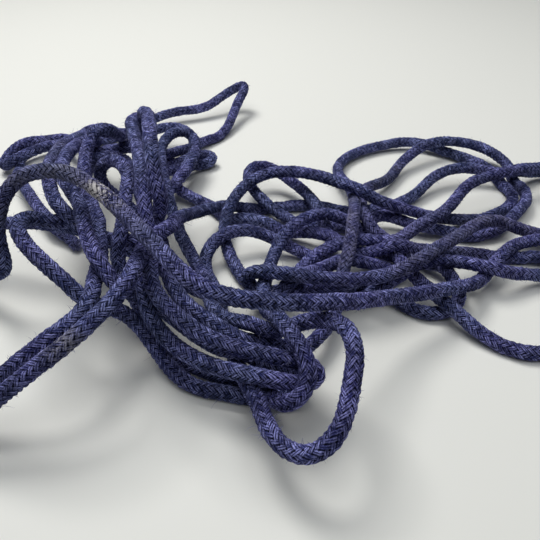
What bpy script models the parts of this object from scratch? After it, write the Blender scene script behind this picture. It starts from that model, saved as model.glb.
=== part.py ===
"""Braided cotton cord, one continuous length lying loose in a tangled heap.

Units are metres in Blender. Sizes and heights below are in millimetres, and the places in
ROUTE are in units of the sheet described with it.
+X is to the right, +Y is to the back and +Z is up. The cord rests on z = 0,
and the origin is under the middle of the heap.

The heap is one solid: a single cord that runs from a cut end at the right,
through every loop of both piles, to a cut end at the left. ROUTE names each
stretch of it in order, with its rows along that stretch.
"""

import math

import bpy
import numpy as np

# ---- driving dimensions, millimetres ----
CORD_D = 6.0             # diameter of the braided cord
SIDES = 8                # sides of the plain tube
TUBE_R = 0.5 * CORD_D * math.sqrt(math.pi / (SIDES / 2 * math.sin(2 * math.pi / SIDES)))
REST_Z = TUBE_R * math.cos(math.pi / SIDES)   # centreline height of a stretch lying flat
CLEARANCE = 6.3          # least distance between the middles of two strands that pass
WALK = 3.0               # spacing at which the route is checked for passing strands
SAG = 0.48               # most that a straight piece of the tube cuts inside a bend
SHORTEST = 3.8           # shortest straight piece of the tube
LONGEST = 17.0           # longest straight piece of the tube
CORD_COLOUR = (0.075, 0.072, 0.235, 1.0)
CORD_ROUGHNESS = 0.95

TIGHTEST = 4.0           # bends sharper than this radius are eased

# The strands are set out on an upright sheet, seen by an eye in front of the heap
# and above it: how far across and down the sheet, and the height of the cord's
# middle. The functions below carry them to the heap and part the strands.
EYE = (0.0, -193.3, 168.0)   # place of the eye
EYE_TILT = 41.0          # how far the eye looks down, degrees
SHEET = 540.0            # width of the sheet, and its distance from the eye
PILE_UP = 0.0065         # how much the higher strands are raised by those beneath

COLUMNS = ("across", "down", "height")

ROUTE = (
    # cut end at the right, running in along the table
    ("right_end", (
        (558, 259, 3), (540, 257, 3), (520, 256, 3), (505, 257, 3), (490, 255, 3), (475, 254, 3.5),
        (460, 252, 4), (445, 253, 4), (430, 254, 5), (410, 252, 8),
    )),
    # under the worn arch and across the gap to the left pile
    ("low_run_left", (
        (395, 249, 10), (378, 250, 9), (365, 250, 7), (352, 248, 6), (342, 244, 5), (333, 238, 5),
        (320, 234, 5), (305, 232, 5), (295, 233, 4), (284, 232, 4), (272, 225, 3), (260, 220, 3),
        (245, 218, 3), (232, 217, 3), (220, 211, 3), (210, 205, 4), (200, 201, 5), (190, 196, 7),
        (180, 190, 9),
    )),
    # up behind the tall arch of the left pile and in under it
    ("behind_tall_arch", (
        (174, 184, 11), (180, 176, 11), (187, 166, 11), (192, 156, 10), (194, 143, 9),
        (188, 132, 8), (176, 127, 8), (168, 127, 8), (158, 129, 8), (145, 134, 9), (130, 139, 14),
    )),
    # round hoop at the top of the left pile, then down its front
    ("top_hoop", (
        (125, 141, 22), (119, 136, 29), (112, 131, 36), (103, 128, 40), (95, 130, 40),
        (90, 139, 38), (86, 153, 36), (84, 168, 35), (85, 182, 34), (89, 196, 33), (94, 213, 31),
        (99, 238, 30), (101, 254, 31), (98, 268, 32), (95, 282, 33), (91, 297, 34),
    )),
    # back strand of the doubled run to the front left, and its bight
    ("pair_back", (
        (80, 315, 35), (60, 330, 33), (40, 345, 30), (20, 361, 26), (0, 378, 21), (-20, 394, 15),
        (-40, 409, 9), (-62, 425, 4), (-82, 438, 3), (-96, 448, 3), (-102, 462, 3), (-94, 474, 3),
        (-78, 470, 4), (-58, 451, 7),
    )),
    # front strand of the doubled run, up over the pile and down to the right
    ("pair_front", (
        (-30, 422, 14), (0, 396, 22), (20, 380, 27), (40, 364, 31), (60, 349, 34), (80, 332, 37),
        (100, 313, 39), (115, 298, 40), (127, 282, 40), (134, 268, 38), (141, 254, 36),
        (150, 241, 35), (160, 231, 35), (170, 223, 32), (180, 217, 27), (190, 214, 20),
        (205, 210, 12), (220, 207, 7),
    )),
    # low line along the back of the right pile to its right edge
    ("back_line", (
        (230, 207, 5), (240, 208, 3.5), (262, 208, 3), (285, 206, 3), (310, 205, 3), (330, 208, 3),
        (347, 212, 3), (362, 211, 3), (380, 207, 3), (395, 204, 4), (412, 197, 5), (422, 188, 6),
        (431, 179, 7), (445, 171, 8), (458, 168, 8), (472, 168, 8), (485, 171, 7), (497, 174, 6),
        (510, 176, 6), (525, 174, 5), (540, 172, 4), (556, 172, 3.5), (570, 170, 4), (580, 163, 7),
        (574, 156, 10), (560, 160, 13),
    )),
    # wave back over the right pile to its middle
    ("top_wave", (
        (540, 168, 15), (525, 168, 16), (510, 171, 17), (495, 175, 17), (482, 178, 16),
        (470, 183, 15), (461, 192, 14), (454, 202, 13), (445, 211, 13), (432, 219, 14),
        (420, 224, 13), (411, 231, 12), (405, 237, 11), (399, 242, 10), (391, 245, 9),
        (380, 245, 9), (365, 243, 9), (350, 242, 8), (340, 244, 8), (330, 247, 8), (318, 253, 8),
        (308, 262, 8), (299, 270, 8), (292, 280, 7), (296, 290, 5),
    )),
    # out again beneath the thick run, to the right edge
    ("under_run", (
        (310, 296, 4), (328, 298, 5), (348, 293, 5), (366, 289, 6), (385, 284, 7), (400, 275, 8),
        (415, 266, 9), (430, 260, 10), (442, 258, 10), (455, 261, 11), (470, 264, 12),
        (485, 268, 13), (500, 271, 11), (520, 274, 7), (540, 275, 4), (556, 276, 3), (572, 271, 3),
        (580, 258, 3), (572, 245, 3), (556, 239, 3),
    )),
    # long top strand, from the right edge to the front of the left pile
    ("long_strand_right", (
        (540, 239, 3.5), (530, 241, 5), (515, 246, 7), (503, 253, 9), (496, 261, 8), (490, 269, 7),
        (483, 277, 9), (473, 284, 12), (460, 287, 14), (445, 289, 16), (430, 292, 17),
        (410, 295, 19), (390, 297, 22), (370, 300, 27), (350, 302, 31), (325, 303, 35),
        (300, 303, 38), (275, 302, 41), (250, 300, 43), (220, 295, 44), (200, 287, 45),
        (180, 272, 45),
    )),
    # long top strand over the left pile, and its bight at the left
    ("long_strand_left", (
        (160, 250, 45), (145, 235, 45), (130, 220, 45), (110, 200, 46), (90, 184, 47),
        (70, 173.5, 48), (50, 170, 47), (35, 171.5, 46), (20, 176, 45), (8, 188, 43), (1, 203, 40),
        (-3, 222, 36), (-2, 240, 31), (2, 256, 27), (7, 266, 24), (5, 273, 21), (-4, 275, 18),
        (-18, 272, 15), (-30, 262, 13), (-34, 246, 13), (-28, 232, 15), (-14, 224, 18),
        (2, 223, 22), (15, 223, 25),
    )),
    # lowest run, from the left bight under everything to the right pile
    ("deep_run", (
        (30, 222, 27), (50, 225, 27), (70, 227, 26), (85, 231, 22), (100, 238, 16), (120, 246, 14),
        (140, 256, 14), (160, 268, 14), (180, 281, 13), (205, 292, 12), (240, 298, 10),
        (270, 296, 8), (290, 288, 8), (303, 280, 9), (315, 272, 10), (330, 265, 9), (345, 259, 8),
        (358, 260, 8), (372, 263, 7), (385, 261, 6), (396, 259, 5), (405, 262, 4), (407, 268, 3.5),
        (400, 275, 3), (385, 282, 3), (360, 287, 3), (330, 289, 3), (300, 291, 3), (275, 292, 3),
        (262, 291, 3),
    )),
    # wide arch over the back of the right pile
    ("worn_arch", (
        (253, 287, 4), (245, 280, 5), (238, 270, 6), (231, 258, 6), (227, 247, 6), (224, 235, 6),
        (225, 222, 8), (228, 210, 10), (234, 198, 12), (242, 188, 13), (252, 180, 14),
        (262, 175, 15), (275, 172, 16), (290, 171, 17), (305, 173, 18), (320, 176, 19),
        (340, 183, 20), (355, 189, 20), (370, 197, 18), (385, 203, 16), (400, 208, 13),
        (415, 213, 10), (430, 217, 7), (450, 219, 5), (465, 220, 4),
    )),
    # far hoop at the back right, lying on the table
    ("far_hoop_inner", (
        (480, 219, 4), (498, 213, 4), (507, 208, 4), (514, 201, 4), (512, 193, 4), (504, 184, 4),
        (492, 171, 4), (480, 164, 3.5), (465, 158, 3), (450, 153, 3), (437, 149, 3), (425, 144, 3),
        (412, 142, 3), (400, 142, 3), (385, 145, 3), (370, 148, 3), (355, 153, 3), (343, 160, 3),
        (337.5, 169, 5), (340.5, 178, 8), (350, 188, 11),
    )),
    # short steep strand forward over the right pile, and under the front loop
    ("steep_drop", (
        (355, 200, 15), (354, 215, 18), (352, 230, 19), (350, 245, 18), (347, 258, 15),
        (343, 270, 11), (342, 285, 9), (339, 300, 8), (333, 316, 9), (325, 330, 10),
        (315, 340, 11), (306, 350, 12), (297, 352, 13),
    )),
    # inner strand of the fan, back up into the left pile
    ("inner_run", (
        (290, 348, 14), (270, 343, 15), (250, 338, 16), (230, 331, 17), (212, 322, 18),
        (195, 312, 19), (181, 299, 21), (171, 283, 25), (165, 262, 29), (165, 242, 30),
        (165, 227, 32), (162, 212, 38),
    )),
    # highest strand of the left pile and its bight
    ("column_high", (
        (157.5, 190, 47), (153.5, 170, 50), (151, 150, 51), (149.5, 131, 51), (149, 121, 50),
        (147, 114, 49), (143, 113, 45), (141, 120, 40), (140, 133, 35), (142, 152, 28),
        (148, 174, 20), (156, 192, 14),
    )),
    # tall narrow arch behind the left pile, then forward
    ("tall_arch", (
        (166, 196, 12), (173, 187, 11), (180, 178, 11), (187, 170, 12), (193, 160, 13),
        (197, 146, 15), (194, 136, 16), (185, 130, 17), (175, 131, 18), (166, 138, 18),
        (161, 148, 18), (161, 160, 18), (163, 175, 17), (167, 190, 16), (170, 205, 14),
        (176, 220, 13), (181, 236, 12), (187, 247, 12), (193, 258, 12), (199, 270, 12),
        (205, 282, 13), (210, 300, 14),
    )),
    # big standing loop at the front
    ("front_loop", (
        (218, 317, 15), (235, 323, 17), (262, 327, 20), (290, 324, 25), (312, 319, 29),
        (335, 318, 32), (348, 327, 33), (355, 345, 34), (356, 362, 34), (352.5, 380, 33),
        (349, 400, 30), (344, 422, 27), (334, 441, 24), (319, 454, 22), (304, 458, 20),
        (289, 453, 19), (275, 440, 18), (266, 425, 17), (260, 408, 16), (254, 392, 13),
        (247, 380, 10), (240, 366, 8), (232, 349, 6), (226, 330, 5), (221, 308, 4),
    )),
    # small ring beside the left pile
    ("ring", (
        (217, 290, 4), (209, 279, 4), (204, 266, 4), (207, 251, 6), (215, 240, 10), (226, 233, 12),
        (238, 230, 12), (252, 230, 10), (265, 235, 7), (280, 242, 5), (292, 248, 4), (303, 253, 4),
        (313, 258, 4), (321, 259, 3), (327, 254, 3), (331, 246, 3), (331, 236, 3), (325, 226, 4),
        (321, 216, 7),
    )),
    # curl under the wide arch, then along under the right pile
    ("curl", (
        (316, 205, 8), (308, 195, 8), (298, 186, 8), (287, 178, 8), (278, 171, 8), (268, 166, 9),
        (258, 165, 10), (249, 169, 11), (247, 177, 10), (251, 186, 8), (257, 195, 7),
        (266, 204, 6), (278, 213, 5), (290, 220, 5), (300, 225, 4), (318, 225, 4), (332, 225, 4),
        (345, 227, 4), (356, 230, 4), (365, 229, 4), (370, 221, 5), (377, 214, 6), (390, 216, 6),
        (405, 221, 5), (416, 225, 5), (432, 228, 4), (450, 232, 4), (464, 236, 4), (476, 237, 5),
        (487, 233, 6), (500, 228, 6), (508, 222, 5),
    )),
    # outer far hoop at the back right, and down into the middle
    ("far_hoop_outer", (
        (514, 215, 5), (522, 206, 5), (526, 197, 5), (523, 188, 5), (516, 179, 5), (509, 166, 5),
        (500, 158, 5), (490, 151, 6), (475, 145, 7), (460, 142, 8), (445, 141, 9), (430, 143, 10),
        (420, 148, 10), (410, 155, 8), (401, 163, 6), (395, 171, 5), (388, 180, 5), (378, 184, 6),
        (366, 188, 8), (362, 198, 9), (361, 212, 9), (366, 226, 8), (374, 236, 6), (385, 243, 5),
        (398, 250, 4), (412, 257, 4), (428, 260, 4),
    )),
    # low bight beneath the long strand, and back to the left
    ("under_bight", (
        (442, 263, 5), (450, 275, 6), (457, 286, 8), (462, 296, 8), (457, 305, 6), (445, 312, 4),
        (428, 314, 3), (412, 309, 3), (400, 302, 3), (390, 295, 3), (378, 289, 4), (360, 286, 7),
        (340, 286, 9), (320, 287, 10), (290, 287, 9), (262, 289, 8), (250, 285, 9),
    )),
    # thick run over the front of the right pile, and its bight at the right
    ("thick_run", (
        (243, 279, 13), (246, 273, 18), (259, 272, 20), (275, 274, 20), (290, 276, 19),
        (310, 277, 19), (330, 279, 19), (350, 280, 18), (370, 278, 17), (390, 274, 16),
        (405, 268, 16), (420, 260, 16), (435, 250, 17), (450, 242, 17), (460, 235, 17),
        (470, 228, 17), (480, 223, 16), (493, 220, 14), (505, 223, 11), (517, 228, 8),
        (530, 232, 5), (541, 235, 3.5), (560, 240, 3), (580, 252, 3), (594, 275, 3), (596, 305, 3),
        (584, 330, 3), (562, 348, 3),
    )),
    # low strand at the right front, in under the long strand
    ("low_tail", (
        (540, 354, 3), (525, 353, 3), (510, 349, 3), (495, 342, 3), (480, 333, 4), (468, 323, 6),
        (458, 313, 9), (448, 306, 11), (440, 299, 10), (428, 288, 9), (420, 280, 9), (408, 268, 8),
        (398, 260, 6), (388, 252, 4), (378, 242, 3), (370, 232, 4), (360, 224, 7),
    )),
    # strand standing up from the front and over to the right
    ("strut", (
        (347, 220, 10), (335, 215, 12), (322, 213, 13), (310, 216, 13), (298, 222, 13),
        (290, 229, 12), (282, 238, 12), (276, 250, 11), (270, 265, 9), (265, 290, 8),
        (264, 303, 12),
    )),
    # hook over the end of the front bight, and away beneath it
    ("hook", (
        (270, 316, 20), (278, 319, 24), (287, 327, 27), (296, 339, 29), (304, 352, 30),
        (309, 366, 30), (309, 381, 28), (305, 394, 25), (295, 403, 22), (284, 406, 19),
        (274, 400, 16), (266, 393, 13), (257, 384, 9), (240, 378, 6), (225, 376, 4), (205, 371, 4),
        (185, 362, 4), (170, 350, 4), (158, 335, 4), (148, 320, 4), (138, 305, 7), (132, 290, 14),
    )),
    # ring round the small hole of the left pile
    ("hole_ring", (
        (122, 278, 20), (118, 262, 24), (118, 250, 26), (122, 238, 28), (125, 222, 31),
        (124, 205, 34), (126, 194, 35), (128, 183, 36), (128, 174, 37), (123, 165, 37),
        (114, 160, 35), (105, 162, 31), (99, 168, 27), (98, 177, 23), (103, 187, 20),
        (113, 194, 18), (124, 202, 17), (133, 211, 17), (140, 223, 18), (142, 240, 22),
    )),
    # long flat bight at the front, out and back
    ("front_bight", (
        (141, 262, 27), (142, 285, 26), (145, 305, 21), (155, 325, 18), (170, 342, 16),
        (190, 356, 16), (210, 365, 16), (230, 371, 16), (250, 376, 17), (270, 380, 17),
        (290, 382, 16), (301, 384, 15), (312, 386, 14), (324, 385, 14), (330, 378, 15),
        (326, 370, 16), (315, 364, 17), (297, 361, 18), (280, 358, 19), (260, 353, 20),
        (240, 349, 21), (220, 343, 23), (200, 334, 25), (180, 318, 27), (160, 300, 29),
        (150, 280, 31), (150, 265, 31), (150, 250, 31),
    )),
    # second strand of the left column and its bight
    ("column_low", (
        (151, 238, 32), (150, 225, 37), (147, 210, 43), (145, 190, 45), (142, 170, 45),
        (139, 155, 44), (136, 142, 43), (133.5, 132, 42), (134, 124, 41), (138, 118, 38),
        (143, 121, 33), (145, 134, 29), (147, 150, 25), (150, 166, 19),
    )),
    # small bight behind the left pile
    ("small_bight", (
        (158, 173, 12), (170, 171, 7), (183, 167, 5), (198, 165, 4), (213, 162, 4), (221, 158, 4),
        (213, 153, 4), (200, 155, 5), (186, 158, 6), (172, 163, 7), (158, 158, 10), (145, 150, 15),
    )),
    # bight at the back left
    ("back_left_bight", (
        (132, 143, 20), (125, 143, 22), (110, 146, 23), (95, 147, 22), (85, 148, 18),
        (73, 146, 15), (60, 144.5, 13), (48, 146, 11), (35, 150, 10), (25, 155, 9), (15, 162, 7),
        (9, 169, 6), (4, 172, 5), (2, 168, 5), (5, 160, 5), (13, 150, 6), (24, 143, 8),
        (37, 140.5, 10), (48, 141.5, 11), (60, 141.5, 10), (80, 141, 6), (100, 140, 4),
        (120, 136, 3), (140, 126, 3),
    )),
    # pointed loop far behind the left pile
    ("far_point", (
        (158, 117, 4), (170, 113, 6), (185, 110.5, 8), (200, 109, 9), (212, 104, 10),
        (222, 96, 12), (235, 88.5, 14), (243, 83.5, 15), (248, 80, 15), (247.5, 84, 15),
        (244, 91, 14), (238, 102, 11), (234, 112, 9), (230, 122, 6), (225, 131, 4), (217, 137, 4),
        (205, 141, 5), (198, 143, 6), (190, 148, 8), (178, 152, 9), (166, 157, 11), (155, 151, 14),
        (142, 143, 18),
    )),
    # down the left side of the pile and round behind it
    ("left_drop", (
        (128, 138, 22), (115, 136, 23), (103, 137, 24), (92, 138, 27), (78, 138, 31),
        (70, 141, 34), (63, 145, 36), (56, 153, 37), (50, 163, 38), (48, 172, 39), (49, 181, 38),
        (52, 195, 37), (58, 207, 37), (66, 216, 37), (76, 222, 36), (88, 229, 31), (103, 236, 28),
        (118, 240, 27), (132, 244, 29), (143, 248, 28), (151, 242, 25), (151, 230, 23),
        (146, 212, 23), (140, 195, 22), (135, 177, 21), (128, 162, 20), (116, 155, 19),
        (101, 155, 19), (91, 163, 20), (86, 178, 22), (83, 195, 24), (81, 211, 27),
    )),
    # wide bight at the left, down to the front
    ("left_bight", (
        (76, 221, 31), (65, 221, 33), (50, 221, 34), (36, 218, 36), (26, 217, 37), (19, 220.5, 38),
        (16, 229, 39), (22, 240, 39), (32, 252, 39), (45, 264, 38), (60, 277, 37), (75, 290, 34),
        (88, 302, 30), (103, 307, 25), (118, 309, 19), (132, 319, 12),
    )),
    # lowest curve at the front, on the table, and back beneath
    ("front_curve", (
        (142, 328, 8), (152, 343, 6), (163, 359, 4), (172, 370, 3), (181, 379, 3), (194, 386, 3),
        (208, 390.5, 3), (222, 392, 3), (233, 392.5, 3), (245, 392, 3), (257, 391, 3),
        (271, 393, 3), (285, 396, 3), (296, 394, 3.5), (301, 384, 5), (297, 373, 8), (285, 368, 9),
        (260, 365, 9), (240, 359, 9), (225, 352, 9), (205, 341, 10), (185, 327, 11),
        (165, 311, 13), (148, 298, 17), (130, 291, 25), (118, 288, 31),
    )),
    # up the front of the left pile to its top
    ("front_rise", (
        (110, 282, 34), (101, 268, 36), (93, 252, 37), (87, 235, 38), (83, 218, 38), (79, 203, 38),
        (72, 192, 39), (64, 180, 40), (61, 170, 39), (62, 163, 38), (66, 156, 37), (70, 150, 35),
        (77, 145, 33), (84, 142, 31), (91, 140, 28), (96, 142, 23), (91, 146, 18), (78, 146.5, 12),
        (62, 145, 6), (48, 146, 3), (35, 150, 3), (25, 155, 3), (19, 161, 3),
    )),
    # last stretch, down to the cut end on the table
    ("left_end", (
        (17.5, 169, 5), (20, 180, 8), (30, 195, 10), (38, 207, 10), (45, 215, 9), (52, 226, 8),
        (62, 233, 6), (72, 240, 5), (78, 247, 4),
    )),
)


def smooth_route(rows, step):
    """Centripetal Catmull-Rom curve through the rows, in even steps."""
    p = np.asarray(rows, float)
    q = np.vstack([2 * p[0] - p[1], p, 2 * p[-1] - p[-2]])
    s = np.linspace(0.0, 1.0, 12, endpoint=False)[:, None]
    out = []
    for k in range(1, len(q) - 2):
        a, b, c, d = q[k - 1:k + 3]
        ab = math.sqrt(max(np.linalg.norm(b - a), 1e-6))
        bc = math.sqrt(max(np.linalg.norm(c - b), 1e-6))
        cd = math.sqrt(max(np.linalg.norm(d - c), 1e-6))
        m = c - b + bc * ((b - a) / ab - (c - a) / (ab + bc))
        n = c - b + bc * ((d - c) / cd - (d - b) / (bc + cd))
        out.append((2 * s**3 - 3 * s**2 + 1) * b + (s**3 - 2 * s**2 + s) * m
                   + (-2 * s**3 + 3 * s**2) * c + (s**3 - s**2) * n)
    return even(np.vstack(out + [q[-2:-1]]), step)


def placed(rows):
    """Rows of the route, carried from the sheet to the heap."""
    across, down, height = (np.asarray(rows, float) - (0.5 * SHEET, 0.5 * SHEET, 0.0)).T
    height = height + PILE_UP * np.maximum(height - 3.0, 0.0) ** 2
    tilt = math.radians(EYE_TILT)
    reach = (EYE[2] - height) / (SHEET * math.sin(tilt) + down * math.cos(tilt))
    away = reach * (SHEET * math.cos(tilt) - down * math.sin(tilt)) + EYE[1]
    return np.stack([reach * across, away, height], axis=1)


def sight(points):
    way = points - np.array(EYE)
    return way / np.linalg.norm(way, axis=1)[:, None]


def along(points):
    return np.r_[0.0, np.cumsum(np.linalg.norm(np.diff(points, axis=0), axis=1))]


def even(points, step):
    """The same line with its points an even distance apart."""
    length = along(points)
    where = np.linspace(0.0, length[-1], max(2, int(round(length[-1] / step)) + 1))
    return np.stack([np.interp(where, length, points[:, k]) for k in range(3)], axis=1)


def blur(values, width):
    """Weighted average along the cord, which spreads a push over its neighbours."""
    kernel = np.hanning(2 * width + 3)[1:-1]
    kernel /= kernel.sum()
    padded = np.vstack([np.repeat(values[:1], width, 0), values, np.repeat(values[-1:], width, 0)])
    return np.stack([np.convolve(padded[:, k], kernel, "valid") for k in range(values.shape[1])], axis=1)


def passing_pairs(points, reach):
    """Pairs of places on two different strands that lie within reach of each other."""
    skip = int(2.6 * CORD_D / WALK)
    first, second = [], []
    for start in range(0, len(points), 400):
        block = points[start:start + 400]
        apart = ((block[:, None, :] - points[None, :, :]) ** 2).sum(2)
        i, j = np.nonzero(apart < reach * reach)
        i = i + start
        keep = j - i > skip
        first.append(i[keep])
        second.append(j[keep])
    return np.concatenate(first), np.concatenate(second)


def draw_apart(points, rounds, width, by_sight=False, home=None, pull=0.0, calm=0.0):
    """Parts strands that pass too near: first in depth only, then freely, near their home."""
    points = points.copy()
    eye = np.array(EYE)
    for turn in range(rounds):
        if turn % 6 == 0:
            i_all, j_all = passing_pairs(points, CLEARANCE + 4.0)
        gap = points[i_all] - points[j_all]
        size = np.linalg.norm(gap, axis=1)
        close = size < CLEARANCE
        if not close.any():
            break
        i, j, gap, size = i_all[close], j_all[close], gap[close], size[close]
        if by_sight:
            ray = sight(0.5 * (points[i] + points[j]))
            deep = (gap * ray).sum(1)
            beside = np.maximum((gap * gap).sum(1) - deep**2, 0.0)
            need = np.sqrt(np.maximum(CLEARANCE**2 - beside, 0.0))
            step = (need - np.abs(deep)) * 0.5 * np.where(deep >= 0.0, 1.0, -1.0)
            push = np.clip(step, -1.2, 1.2)[:, None] * ray
        else:
            push = 0.5 * (CLEARANCE - size)[:, None] * gap / np.maximum(size, 1e-6)[:, None]
        move = np.zeros_like(points)
        count = np.zeros(len(points))
        np.add.at(move, i, push)
        np.add.at(move, j, -push)
        np.add.at(count, i, 1.0)
        np.add.at(count, j, 1.0)
        move = (1.3 if by_sight else 1.8) * blur(move / np.maximum(count, 1.0)[:, None], width)
        if by_sight:
            ray = sight(points)
            move = (move * ray).sum(1)[:, None] * ray
        points += move
        if calm > 0.0:
            ray = sight(points)
            points += calm * ((blur(points, 5) - points) * ray).sum(1)[:, None] * ray
        if home is not None:
            ray = sight(points)
            back = home - points
            points += pull * (back - (back * ray).sum(1)[:, None] * ray)
        low = points[:, 2] < REST_Z
        scale = (EYE[2] - REST_Z) / (EYE[2] - points[low, 2])
        points[low] = eye + (points[low] - eye) * scale[:, None]
    return points


def limit_bends(points, rounds):
    """Eases bends that are too sharp for the cord."""
    points = even(points, WALK)
    for _ in range(rounds):
        sharp = np.clip(1.0 - bend_radius(points) / TIGHTEST, 0.0, 1.0)
        sharp[[0, -1]] = 0.0
        weight = np.clip(2.0 * blur(sharp[:, None], 2), 0.0, 0.8)
        points = points + weight * (blur(points, 2) - points)
        points[:, 2] = np.maximum(points[:, 2], REST_Z)
    return points


def settle(points, rounds):
    """Moves strands that pass too near apart, and keeps all of them on or above the surface."""
    points = points.copy()
    for turn in range(rounds):
        if turn % 6 == 0:
            i_all, j_all = passing_pairs(points, CLEARANCE + 4.0)
        gap = points[i_all] - points[j_all]
        size = np.linalg.norm(gap, axis=1)
        close = size < CLEARANCE
        if not close.any():
            break
        i, j = i_all[close], j_all[close]
        push = 0.5 * (CLEARANCE - size[close])[:, None] * gap[close] / np.maximum(size[close], 1e-6)[:, None]
        move = np.zeros_like(points)
        count = np.zeros(len(points))
        np.add.at(move, i, push)
        np.add.at(move, j, -push)
        np.add.at(count, i, 1.0)
        np.add.at(count, j, 1.0)
        points += 1.8 * blur(move / np.maximum(count, 1.0)[:, None], 2)
        points[:, 2] = np.maximum(points[:, 2], REST_Z)
    return even(points, WALK)


def lay_flat(points):
    """A stretch that lies within half a millimetre of the surface lies flat on it."""
    points = points.copy()
    low = points[:, 2] < REST_Z + 0.5
    points[low, 2] = REST_Z
    return points


def bend_radius(points):
    a = points[2:] - points[1:-1]
    b = points[1:-1] - points[:-2]
    la = np.linalg.norm(a, axis=1)
    lb = np.linalg.norm(b, axis=1)
    angle = np.arccos(np.clip((a * b).sum(1) / (la * lb), -1.0, 1.0))
    radius = 0.5 * (la + lb) / np.maximum(angle, 1e-6)
    return np.r_[radius[:1], radius, radius[-1:]]


def tube_points(points):
    """Points for the tube, closer together round a tight bend than on a straight run."""
    radius = 1.0 / np.maximum(blur(1.0 / bend_radius(points)[:, None], 1)[:, 0], 1e-4)
    spacing = np.clip(np.sqrt(8.0 * radius * SAG), SHORTEST, LONGEST)
    length = along(points)
    count = np.r_[0.0, np.cumsum(np.diff(length) * 2.0 / (spacing[1:] + spacing[:-1]))]
    number = int(round(count[-1])) + 1
    where = np.interp(np.linspace(0.0, count[-1], number), count, length)
    return np.stack([np.interp(where, length, points[:, k]) for k in range(3)], axis=1)


def centre_of(points):
    low, high = points.min(0), points.max(0)
    return np.array([0.5 * (low[0] + high[0]), 0.5 * (low[1] + high[1]), 0.0])


def cord_line():
    home = smooth_route(placed([row for _, stretch in ROUTE for row in stretch]), WALK)
    line = draw_apart(home, 60, 5, by_sight=True, calm=0.10)
    line = draw_apart(line, 80, 4, home=home, pull=0.06, calm=0.04)
    line = draw_apart(line, 60, 3, home=home, pull=0.03, calm=0.01)
    line = draw_apart(even(line, WALK), 20, 2)
    for _ in range(3):
        line = even(draw_apart(limit_bends(line, 2), 25, 2), WALK)
    line = settle(blur(line, 1), 80)
    return lay_flat(line)


def build():
    for old in list(bpy.data.objects):
        bpy.data.objects.remove(old, do_unlink=True)

    line = cord_line()
    points = tube_points(line)
    points -= centre_of(points)

    curve = bpy.data.curves.new("cord", "CURVE")
    curve.dimensions = "3D"
    curve.twist_mode = "Z_UP"
    curve.bevel_depth = TUBE_R / 1000.0
    curve.bevel_resolution = SIDES // 2 - 2
    curve.use_fill_caps = True
    spline = curve.splines.new("POLY")
    spline.points.add(len(points) - 1)
    for point, place in zip(spline.points, points / 1000.0):
        point.co = (place[0], place[1], place[2], 1.0)
        point.tilt = math.pi / SIDES        # turns a flat side of the tube to the surface

    cord = bpy.data.objects.new("cord", curve)
    bpy.context.scene.collection.objects.link(cord)

    cotton = bpy.data.materials.new("cotton")
    cotton.use_nodes = True
    shader = cotton.node_tree.nodes["Principled BSDF"]
    shader.inputs["Base Color"].default_value = CORD_COLOUR
    shader.inputs["Roughness"].default_value = CORD_ROUGHNESS
    shader.inputs["Metallic"].default_value = 0.0
    curve.materials.append(cotton)
    print("cord length mm", round(float(along(line)[-1])), "tube points", len(points))


build()
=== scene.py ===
"""Looks of the braided cotton cord: its braid, its worn places and its loose fibres.

The route is the one that the CAD solid follows, so the tables and the functions
that lay the cord are the same, in millimetres.
"""

import math

import bpy
import numpy as np
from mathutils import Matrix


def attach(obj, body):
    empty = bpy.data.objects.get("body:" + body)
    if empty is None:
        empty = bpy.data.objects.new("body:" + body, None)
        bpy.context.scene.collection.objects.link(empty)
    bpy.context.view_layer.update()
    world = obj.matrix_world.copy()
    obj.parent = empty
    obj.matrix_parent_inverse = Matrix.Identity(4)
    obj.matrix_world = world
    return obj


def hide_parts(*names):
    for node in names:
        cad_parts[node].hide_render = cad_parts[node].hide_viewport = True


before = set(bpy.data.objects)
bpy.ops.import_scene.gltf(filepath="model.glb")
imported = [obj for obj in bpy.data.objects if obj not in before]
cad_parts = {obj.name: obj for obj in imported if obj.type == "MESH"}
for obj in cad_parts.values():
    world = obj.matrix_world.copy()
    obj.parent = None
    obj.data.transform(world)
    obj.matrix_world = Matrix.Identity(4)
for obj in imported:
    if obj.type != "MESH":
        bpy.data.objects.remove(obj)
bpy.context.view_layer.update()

# ---- driving dimensions, millimetres ----
CORD_D = 6.0             # diameter of the braided cord
SIDES = 8                # sides of the plain tube
TUBE_R = 0.5 * CORD_D * math.sqrt(math.pi / (SIDES / 2 * math.sin(2 * math.pi / SIDES)))
REST_Z = TUBE_R * math.cos(math.pi / SIDES)   # centreline height of a stretch lying flat
CLEARANCE = 6.3          # least distance between the middles of two strands that pass
WALK = 3.0               # spacing at which the route is checked for passing strands
SAG = 0.48               # most that a straight piece of the tube cuts inside a bend
SHORTEST = 3.8           # shortest straight piece of the tube
LONGEST = 17.0           # longest straight piece of the tube

TIGHTEST = 4.0           # bends sharper than this radius are eased

# The strands are set out on an upright sheet, seen by an eye in front of the heap
# and above it: how far across and down the sheet, and the height of the cord's
# middle. The functions below carry them to the heap and part the strands.
EYE = (0.0, -193.3, 168.0)   # place of the eye
EYE_TILT = 41.0          # how far the eye looks down, degrees
SHEET = 540.0            # width of the sheet, and its distance from the eye
PILE_UP = 0.0065         # how much the higher strands are raised by those beneath

COLUMNS = ("across", "down", "height")

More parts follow.
